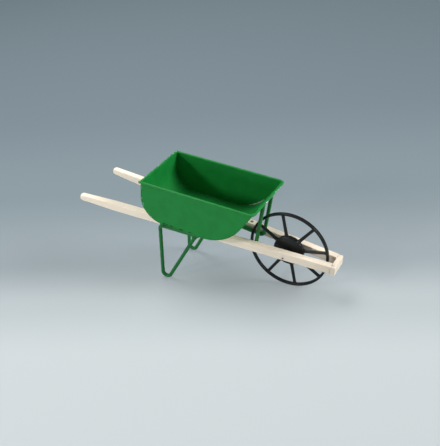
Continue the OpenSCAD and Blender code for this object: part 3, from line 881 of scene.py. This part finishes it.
def shaft(side, seed):
    """Bar along the shaft. Its sides grow evenly from the grip's size to the full section,
    and the stain round a pin is 0.9 times exp of minus the squared distance."""
    tail = -SHAFT_BACK / np.cos(TOE_IN)
    taper_end = tail + GRIP_END / 2 + GRIP_TAPER
    nose = BEAM_BACK / np.cos(TOE_IN)
    along = np.unique(np.concatenate([np.linspace(tail, tail + 3, 30), np.linspace(tail + 3, nose - 1, 200),
                                      np.linspace(nose - 1, nose, 12)]))
    full = np.clip((along - tail - GRIP_END / 2) / GRIP_TAPER, 0, 1)
    across = (GRIP_END + (SHAFT_W - GRIP_END) * full) / 2
    upright = (GRIP_END + (SHAFT_H - GRIP_END) * full) / 2
    corner = 1.05 - 0.70 * np.clip((along - tail) / (GRIP_TAPER * 1.1), 0, 1) ** 0.8
    x, ring_y, ring_z = bar(along, across, upright, corner, 0.12, GRIP_END * 0.42)
    x = np.repeat(x[:, None], ring_y.shape[1], 1)
    front = np.clip((x - (nose - 8)) / 8, 0, 1)
    x = x + front * (ring_y - SHAFT_W / 2) * -np.tan(TOE_IN)
    grid = np.stack([x, ring_y - SHAFT_W / 2, ring_z], -1)
    calm = np.clip((x - tail) / 10, 0.3, 1) * np.clip((nose - x) / 6, 0, 1)
    grid[..., 1] += 0.05 * uneven(grid * [0.35, 1, 1], 9, seed) * calm
    grid[..., 2] += 0.04 * uneven(grid * [0.35, 1, 1], 9, seed + 1) * calm
    pin = np.hypot(grid[..., 0], grid[..., 2] + AXLE_DROP)
    stain = 0.9 * np.exp(-(pin / 0.95) ** 2)
    if side > 0:
        nail = np.hypot(grid[..., 0] - STAY_NAIL / np.cos(TOE_IN), grid[..., 1] + SHAFT_W / 2)
        stain = stain + 0.25 * np.exp(-(nail / 1.1) ** 2) * (grid[..., 2] > 0)
    return skin(from_shaft(grid, side), wear=stain, grain=grid + [0, 17.0 * side, 5.0 * side])


for side, word, seed in ((1, "left", 51), (-1, "right", 61)):
    make_piece(f"wood_shaft_{word}", [shaft(side, seed)], "barrow", "bare_wood", [f"shaft_{word}"])

# %% [markdown]
# ## Front beam
#
# The beam is a short offcut of the same wood, glued across the ends of the shafts, so its
# fibres run from side to side and its two ends show end grain.

# %% Make the beam
def front_beam():
    """Bar from side to side, turned so that its length is y."""
    across = np.linspace(-BEAM_LEN / 2, BEAM_LEN / 2, 60)
    thick = np.full(60, BEAM_THICK / 2)
    tall = np.full(60, (SHAFT_H + BEAM_HANG) / 2)
    y, ring_u, ring_w = bar(across, thick, tall, np.full(60, 0.34), 0.45, 0.22)
    y = np.repeat(y[:, None], ring_u.shape[1], 1)
    grid = np.stack([BEAM_BACK + BEAM_THICK / 2 + ring_u, y, ring_w - BEAM_HANG / 2], -1)
    grid[..., 0] += 0.05 * uneven(grid, 7, 71) * (ring_u > 0)
    glue = np.hypot(grid[..., 0] - BEAM_BACK, grid[..., 1] + 4.6)
    spot = np.exp(-((np.hypot(glue, grid[..., 2] - 2.2)) / 0.8) ** 2)
    grain = np.stack([grid[..., 1], grid[..., 0] + 31, grid[..., 2] + 9], -1)
    return skin(from_plane(grid), wear=spot, grain=grain)


make_piece("wood_beam", [front_beam()], "barrow", "bare_wood", ["front_beam"])

# %% [markdown]
# ## Bent wire
#
# The legs and stays are wire bent round pegs. The line is worked out as a belt: from peg to
# peg it runs straight along the common tangent, and at each peg it follows the peg's circle.
# Each wire lies flat against its shaft, so one rod makes it. Thick paint gathers in the
# bends and makes the wire slightly lumpy.

# %% A belt round pegs
WIRE_R = 1.0
SEAT = 0.02


def belt(pegs, step=0.3):
    """Points of a line that always turns left round pegs (x, y, radius). Between two pegs it
    leaves and arrives at the angle of the line between them, less the arc cosine of the
    difference of the radii over the distance."""
    pegs = np.array(pegs, float)
    gap = pegs[1:] - pegs[:-1]
    side = np.arctan2(gap[:, 1], gap[:, 0]) - np.arccos(-gap[:, 2] / np.hypot(gap[:, 0], gap[:, 1]))
    at = lambda peg, angle: peg[:2] + peg[2] * np.stack([np.cos(angle), np.sin(angle)], -1)
    line = []
    for k in range(len(gap)):
        a, b = at(pegs[k], side[k]), at(pegs[k + 1], side[k])
        line.append(straight(a, b, max(3, int(np.hypot(*(b - a)) / step)))[:-1])
        if k + 1 < len(gap):
            turn = (side[k + 1] - side[k]) % (2 * np.pi)
            angle = side[k] + np.linspace(0, turn, max(8, int(turn * pegs[k + 1, 2] / step * 1.5)))[:, None]
            line.append(at(pegs[k + 1], angle[:, 0])[:-1])
        else:
            line.append(b[None])
    return np.concatenate(line)


def wire(pegs, out, side, seed, trim=0.0):
    """Rod along the belt, in the flat of the shaft's face, at the distance out from it."""
    xz = belt(pegs)
    if trim:
        length = np.r_[0, np.cumsum(np.hypot(*np.diff(xz, axis=0).T))]
        xz = xz[length < length[-1] - trim]
    line = from_shaft(np.stack([xz[:, 0], np.full(len(xz), out), xz[:, 1]], -1), side)
    flat = from_shaft(np.array([0.0, 1, 0]), side) - from_shaft(np.array([0.0, 0, 0]), side)
    heading = np.unwrap(np.arctan2(*np.gradient(xz, axis=0).T[::-1]))
    bend = np.clip(np.abs(np.gradient(heading)) / np.hypot(*np.gradient(xz, axis=0).T) * 2, 0, 1)
    bend = np.convolve(bend, np.hanning(15) / np.hanning(15).sum(), mode="same")
    part = rod(line, flat, WIRE_R * (0.985 + 0.045 * bend), around=26, bumps=0.05, bump_size=3.2, seed=seed)
    part["points"][:, 2] = np.maximum(part["points"][:, 2], 0)
    return part


# %% A drop of solder or thick paint
DROP_BUMPS = 0.12       # share of the size


def drop(centre, size, seed):
    """Uneven ball: unit directions from a grid of two angles, times the three half sizes,
    times one plus a small unevenness."""
    down, round_it = np.linspace(0, np.pi, 20), np.linspace(0, 2 * np.pi, 30, endpoint=False)
    up, turn = np.meshgrid(down, round_it, indexing="ij")
    ball = np.stack([np.sin(up) * np.cos(turn), np.sin(up) * np.sin(turn), np.cos(up)], -1)
    return centre + ball * size * (1 + DROP_BUMPS * uneven(ball * size, 1.6, seed))[..., None]


# %% [markdown]
# ## Legs
#
# Each leg is a closed triangle of wire: a rail along the shaft's outer face, a tight knee, a
# rear arm, the foot bend and a front arm that comes back up to the rail, where a drop of
# solder closes it. A second drop sits on the knee and holds it to the shaft. The foot's
# height follows from the wheel, so that both stand on the ground.

# %% Make the legs
LEG_REAR, LEG_SPREAD, FOOT_AHEAD, FOOT_BEND, KNEE_BEND, RAIL_DROP = 67.9, 19.8, 4.6, 2.5, 1.7, 1.8
leg_front = LEG_REAR - LEG_SPREAD
leg_out = WIRE_R + SEAT
foot_x = -(LEG_REAR - FOOT_AHEAD)
foot_u = foot_x * np.cos(TOE_IN) + leg_out * np.sin(TOE_IN)
foot_w = (FOOT_BEND + WIRE_R - WHEEL_R + foot_u * np.sin(SLOPE)) / np.cos(SLOPE) - AXLE_DROP
leg_pegs = [[-leg_front + 2 * WIRE_R, -RAIL_DROP, 0],
            [-LEG_REAR + KNEE_BEND, -RAIL_DROP - KNEE_BEND, KNEE_BEND],
            [foot_x, foot_w, FOOT_BEND],
            [-leg_front, -RAIL_DROP - 1.9 * WIRE_R, 0]]
for side, word, seed in ((1, "left", 81), (-1, "right", 91)):
    knot = drop(np.array([-leg_front, 0.15 + 1.1, -RAIL_DROP - 1.1 * WIRE_R]),
                np.array([1.62, 1.08, 1.62]), seed)
    knee = drop(np.array([-LEG_REAR + 1.2, 1.25, -RAIL_DROP + 0.75]),
                np.array([1.35, 1.0, 1.35]), seed + 1)
    solder = [skin(from_shaft(knot, side)), skin(from_shaft(knee, side))]
    make_piece(f"wire_leg_{word}", [wire(leg_pegs, leg_out, side, seed), *solder],
               "barrow", "wire_paint", [f"leg_{word}"])

# %% [markdown]
# ## Stays
#
# A stay is a J of the same wire. Its short run lies along the shaft's inner face, and its
# long arm rises to the underside of the tub's front roll, where it is soldered.

# %% Make the stays
STAY_BEND, STAY_DROP = 2.6, 1.2
stay_pegs = [[-STAY_FOOT - STAY_RUN, -STAY_DROP, 0],
             [-STAY_FOOT - STAY_BEND, -STAY_DROP + STAY_BEND, STAY_BEND],
             [front_roll[0] - 0.2, front_roll[1], 0]]
for side, word, seed in ((1, "left", 101), (-1, "right", 111)):
    top = drop(np.array([front_roll[0] - 0.35, -SHAFT_W - WIRE_R, front_roll[1] - 1.25]),
               np.array([0.75, 1.15, 0.75]), seed)
    make_piece(f"wire_stay_{word}",
               [wire(stay_pegs, -SHAFT_W - WIRE_R - SEAT, side, seed, trim=1.5),
                skin(from_shaft(top, side))],
               "barrow", "wire_paint", [f"stay_{word}"])

# %% [markdown]
# ## The wheel
#
# The wheel is a casting. Its rim is a rounded rectangle turned round the axle, with a little
# slope on its inner face, as a casting needs to leave its mould. The spokes taper and flare
# where they meet rim and hub. The hub is a shallow disc with a soft edge, and a sleeve
# through it runs on the pin.

# %% A shape turned round the axle
def turned(profile, count, wobble=0.0, seed=1):
    """Each profile point (radius, y) goes round the axle: x is radius times cosine and z is
    radius times sine."""
    angle = np.linspace(0, 2 * np.pi, count, endpoint=False)[:, None]
    r, y = profile[:, 0][None], profile[:, 1][None]
    points = np.stack([r * np.cos(angle), np.broadcast_to(y, (count, len(profile))), r * np.sin(angle)], -1)
    if wobble:
        points[..., 1] += wobble * uneven(points * [1, 0.2, 1], 30, seed)
    return skin(points + AXLE, loop_rows=True)


def soft_profile(corners, radii, arc=6):
    """Closed line through the corners, each cut by an arc: the arc's ends lie a radius from
    the corner along both sides, and a square curve joins them."""
    corners, radii = np.array(corners, float), np.broadcast_to(radii, len(corners))[:, None]
    before, after = np.roll(corners, 1, 0), np.roll(corners, -1, 0)
    to_before = (before - corners) / np.linalg.norm(before - corners, axis=1, keepdims=True)
    to_after = (after - corners) / np.linalg.norm(after - corners, axis=1, keepdims=True)
    a, b = corners + radii * to_before, corners + radii * to_after
    t = np.linspace(0, 1, arc)[None, :, None]
    curve = a[:, None] * (1 - t) ** 2 + corners[:, None] * 2 * t * (1 - t) + b[:, None] * t ** 2
    return curve.reshape(-1, 2)


# %% Make the rim, hub and spokes
RIM_DEPTH, RIM_W, HUB_R, HUB_T, HUB_EDGE, SLEEVE_R, BORE_R = 1.3, 1.7, 8.2, 3.6, 2.2, 1.5, 0.55
inner_face = SHAFT_Y - SHAFT_W / np.cos(TOE_IN)
sleeve_half = (inner_face - 0.35) - SLEEVE_R * np.sin(TOE_IN)
rim = turned(soft_profile([[WHEEL_R, -RIM_W / 2], [WHEEL_R, RIM_W / 2],
                           [WHEEL_R - RIM_DEPTH, RIM_W / 2 - 0.14], [WHEEL_R - RIM_DEPTH - 0.04, 0],
                           [WHEEL_R - RIM_DEPTH, -RIM_W / 2 + 0.14]], [0.22, 0.22, 0.24, 0.3, 0.24]),
             260, wobble=0.05, seed=121)
half_t, half_e = HUB_T / 2, HUB_EDGE / 2
SPOKE_ROOT_R, SPOKE_TIP_R = 0.9, 0.8
SPOKE_COUNT, SPOKE_TURN, SPOKE_STRAY = 8, 5.0, 5.0      # the second spoke stands astray
hub = turned(soft_profile(
    [[BORE_R, -sleeve_half], [SLEEVE_R, -sleeve_half], [SLEEVE_R, -half_t], [HUB_R * 0.55, -half_t],
     [HUB_R, -half_e], [HUB_R, half_e], [HUB_R * 0.55, half_t], [SLEEVE_R, half_t],
     [SLEEVE_R, sleeve_half], [BORE_R, sleeve_half]],
    [0.1, 0.25, 0.3, 1.6, 0.55, 0.55, 1.6, 0.3, 0.25, 0.1]), 120)


def spoke(angle, seed):
    """Tapered rod from inside the hub into the rim. Its radius grows near both ends by an
    exponential flare."""
    way = np.array([np.cos(angle), 0, np.sin(angle)])
    r = np.linspace(HUB_R - 1.5, WHEEL_R - RIM_DEPTH, 44)
    line = AXLE + r[:, None] * way
    t = (r - r[0]) / (r[-1] - r[0])
    thick = SPOKE_ROOT_R + (SPOKE_TIP_R - SPOKE_ROOT_R) * t
    flare = 0.42 * np.exp(-(r - HUB_R + 0.2).clip(0) / 0.55)
    flare = flare + 0.30 * np.exp(-(WHEEL_R - RIM_DEPTH - r).clip(0) / 0.5)
    part = rod(line, [0, 1, 0], np.minimum(thick + flare, 1.25), around=20, dome=4,
               bumps=0.03, bump_size=3, seed=seed)
    out = (part["points"] - AXLE) @ way
    part["points"][:, 1] *= 1 - 0.38 * np.clip((out - WHEEL_R + 3.2) / 2, 0, 1) ** 2
    return part


number = np.arange(SPOKE_COUNT)
turns = np.radians(SPOKE_TURN + 360 / SPOKE_COUNT * number)
turns = turns - np.radians(np.where(number == 1, SPOKE_STRAY, 0))
wheel_parts = [rim, hub] + [spoke(a, 131 + k) for k, a in enumerate(turns)]
make_piece("wheel_casting", wheel_parts, "wheel", "black_enamel", ["wheel"], sharp=60)

# %% [markdown]
# ## Pin and nails
#
# These are small, but they are what makes the barrow believable. The pin has domed, filed
# ends that stand just proud of the shafts. The tub's nails are driven in until their heads
# are all but level with its floor. The nail by the stay has a low dome for a head.

# %% Make the pin and the nails
PIN_R, NAIL_R, NAIL_HEAD_R = 0.49, 0.35, 0.75
pin_half = SHAFT_Y + 0.15
pin_line = AXLE + straight([0, -pin_half + 0.25, 0], [0, pin_half - 0.25, 0], 30)
pin_skin = rod(pin_line, [0, 0, 1], PIN_R, around=28, bumps=0.012, bump_size=2, seed=141)
make_piece("steel_pin", [pin_skin], "barrow", "pin_steel", ["axle_pin"])


def nail(u, sunk, side, seed):
    """Profile of a nail turned round its own axis: a point, a shank and a head. A sunk head
    is a cone with a nearly flat top, just above the sheet, and the other kind is a low dome."""
    a = np.linspace(0, np.pi / 2, 8)
    shank = [[0, -2.8], [0.2, -2.7], [NAIL_R, -2.2], [NAIL_R, 0]]
    if sunk:
        head = np.stack([NAIL_HEAD_R * np.cos(a), SHEET + 0.02 + 0.09 * np.sin(a)], -1)
        profile = np.concatenate([shank, [[0.36, 0.08], [0.73, SHEET - 0.04]], head])
    else:
        head = np.stack([NAIL_HEAD_R * np.cos(a), 0.12 + 0.18 * np.sin(a)], -1)
        profile = np.concatenate([shank, [[0.72, 0], [NAIL_HEAD_R, 0.05]], head])
    angle = np.linspace(0, 2 * np.pi, 28, endpoint=False)[:, None]
    r = profile[:, 0][None] * (1 + 0.05 * np.cos(2 * angle + seed))
    points = np.stack([r * np.cos(angle), r * np.sin(angle), np.broadcast_to(profile[:, 1], r.shape)], -1)
    points = points + [u / np.cos(TOE_IN), -SHAFT_W / 2, SHAFT_H / 2]
    return skin(from_shaft(points, side), loop_rows=True, loop_cols=False)


for side, word in ((1, "left"), (-1, "right")):
    for place, u in (("rear", rear_c[0] + 5), ("front", front_c[0] - 5)):
        make_piece(f"nail_{place}_{word}", [nail(u, True, side, 1)], "barrow", "nail_iron",
                   [f"tub_nail_{place}_{word}"])
make_piece("nail_by_stay", [nail(STAY_NAIL, False, 1, 2)], "barrow", "nail_iron", ["stay_nail_left"])

# %% [markdown]
# ## Floor and lamps
#
# The barrow stands on a plain, pale blue-grey paper that curves up all round, so that no
# horizon shows from any side. Its colour is painted light: brighter towards the front and
# darker at the back. The paper glows a little with the same colour, as if lit evenly from
# behind, so the shadows on it stay faint. Four lamps light the barrow: a small one high in
# front at the left, a low one beneath it, one at the right, and a large soft one overhead.
# Their strength is set so that a colour renders about as it is written.

# %% Make the floor
FLAT, RISE = 0.9, 1.8           # metres


def paper():
    """A bowl: flat out to FLAT, then a quarter circle of radius RISE."""
    a = np.linspace(0, np.pi / 2, 60)
    r = np.concatenate([np.linspace(0, FLAT, 30), FLAT + RISE * np.sin(a[1:])])
    z = np.concatenate([np.zeros(30), RISE * (1 - np.cos(a[1:]))])
    turn = np.linspace(0, 2 * np.pi, 96, endpoint=False)[:, None]
    points = np.stack([r * np.cos(turn), r * np.sin(turn), np.broadcast_to(z, (96, len(r)))], -1)
    mesh = bpy.data.meshes.new("paper")
    mesh.from_pydata(points.reshape(-1, 3), [], grid_faces(96, len(r), loop_rows=True))
    mesh.polygons.foreach_set("use_smooth", np.ones(len(mesh.polygons), bool))
    m, tree, shader = new_material("paper", Roughness=0.75, Emission_Strength=0.62)
    shader.inputs["Specular IOR Level"].default_value = 0.15
    where = tree.nodes.new("ShaderNodeTexCoord").outputs["Object"]
    # painted light: the paper's colour is brighter towards the front and darker at the back, and it glows
    # with the same colour
    front = node(tree, "ShaderNodeVectorMath", {0: where, 1: (0.34, -0.94, 0.0)}, operation="DOT_PRODUCT")
    along = node(tree, "ShaderNodeMapRange",
                 {"Value": front.outputs["Value"], "From Min": -0.25, "From Max": 0.11})
    painted_light_grade = ramp(tree, along.outputs[0], [(0.0, (0.165, 0.210, 0.237)), (0.42, (0.195, 0.242, 0.267)),
                                          (0.66, (0.275, 0.319, 0.341)), (0.78, (0.405, 0.446, 0.462)),
                                          (0.90, (0.480, 0.517, 0.530))], "EASE")
    half = node(tree, "ShaderNodeVectorMath", {0: painted_light_grade, 1: (0.55, 0.55, 0.55)}, operation="MULTIPLY")
    link_up(tree, half.outputs[0], shader.inputs["Base Color"])
    link_up(tree, painted_light_grade, shader.inputs["Emission Color"])
    mesh.materials.append(m)
    return bpy.data.objects.new("paper", mesh)


floor = paper()
bpy.context.scene.collection.objects.link(floor)
floor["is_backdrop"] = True
print("paper:", len(floor.data.polygons), "faces, out to", FLAT + RISE, "m")


# %% Make the lamps
def lamp(name, way, distance, size, power, spread=180):
    """A square lamp at distance metres in the direction way from the barrow, facing it. A
    small spread, in degrees, keeps its light off the paper beside it."""
    way = Vector(way).normalized()
    data = bpy.data.lights.new(name, "AREA")
    data.shape, data.size, data.energy, data.spread = "SQUARE", size, power, np.radians(spread)
    o = bpy.data.objects.new(name, data)
    o.location = Vector((0, 0, 0.03)) + way * distance
    o.rotation_euler = way.to_track_quat("Z", "Y").to_euler()
    bpy.context.scene.collection.objects.link(o)
    return o


lamp("front_lamp", (-0.68, -1, 0.62), 0.75, 0.08, 1.8)
lamp("low_lamp", (-0.4, -1, 0.15), 0.75, 0.20, 0.113, spread=60)
lamp("right_lamp", (1, 0.3, 0.50), 1.0, 0.45, 1.36, spread=60)
lamp("top_lamp", (-0.45, 0.25, 1), 0.9, 0.5, 6.3)
world = bpy.data.worlds.new("room")
bpy.context.scene.world = world
world.use_nodes = True
world.node_tree.nodes["Background"].inputs["Color"].default_value = (0.80, 0.86, 0.90, 1)
world.node_tree.nodes["Background"].inputs["Strength"].default_value = 0.15

# %% [markdown]
# ## Camera
#
# The camera looks down at the barrow from the front right, a little tilted, from the place
# where a person at a table would hold it. Its place is given from the axle.

# %% Make the camera
yaw, pitch, roll = 0.546473, 0.520555, -0.133469         # radians
FROM_AXLE, LENS = (0.140456, -0.294752, 0.207260), 60.743623     # metres, millimetres
back = Vector((np.sin(yaw) * np.cos(pitch), -np.cos(yaw) * np.cos(pitch), np.sin(pitch)))
level = Vector((np.cos(yaw), np.sin(yaw), 0))
upward = back.cross(level)
right = level * np.cos(roll) + upward * np.sin(roll)
upward = upward * np.cos(roll) - level * np.sin(roll)
camera = bpy.data.objects.new("camera", bpy.data.cameras.new("camera"))
eye = Vector(AXLE * MM) + Vector(FROM_AXLE)
camera.matrix_world = Matrix((
    (right.x, upward.x, back.x, eye.x), (right.y, upward.y, back.y, eye.y),
    (right.z, upward.z, back.z, eye.z), (0, 0, 0, 1)))
camera.data.lens = LENS
camera.data.clip_start = 0.01
bpy.context.scene.collection.objects.link(camera)
bpy.context.scene.camera = camera
bpy.context.scene.view_settings.view_transform = "Standard"
print("camera at", [round(v, 4) for v in eye])

# %% [markdown]
# ## Check the size
#
# The finished barrow has to fill the same box as the plain model. Both boxes are written
# down, to compare them.

# %% Compare the boxes and finish
finished_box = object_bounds()
for end, plain, finished in zip(("lower", "upper"), plain_box, finished_box):
    print(end, "corner, difference in mm:", [round((b - a) / MM, 3) for a, b in zip(plain, finished)])
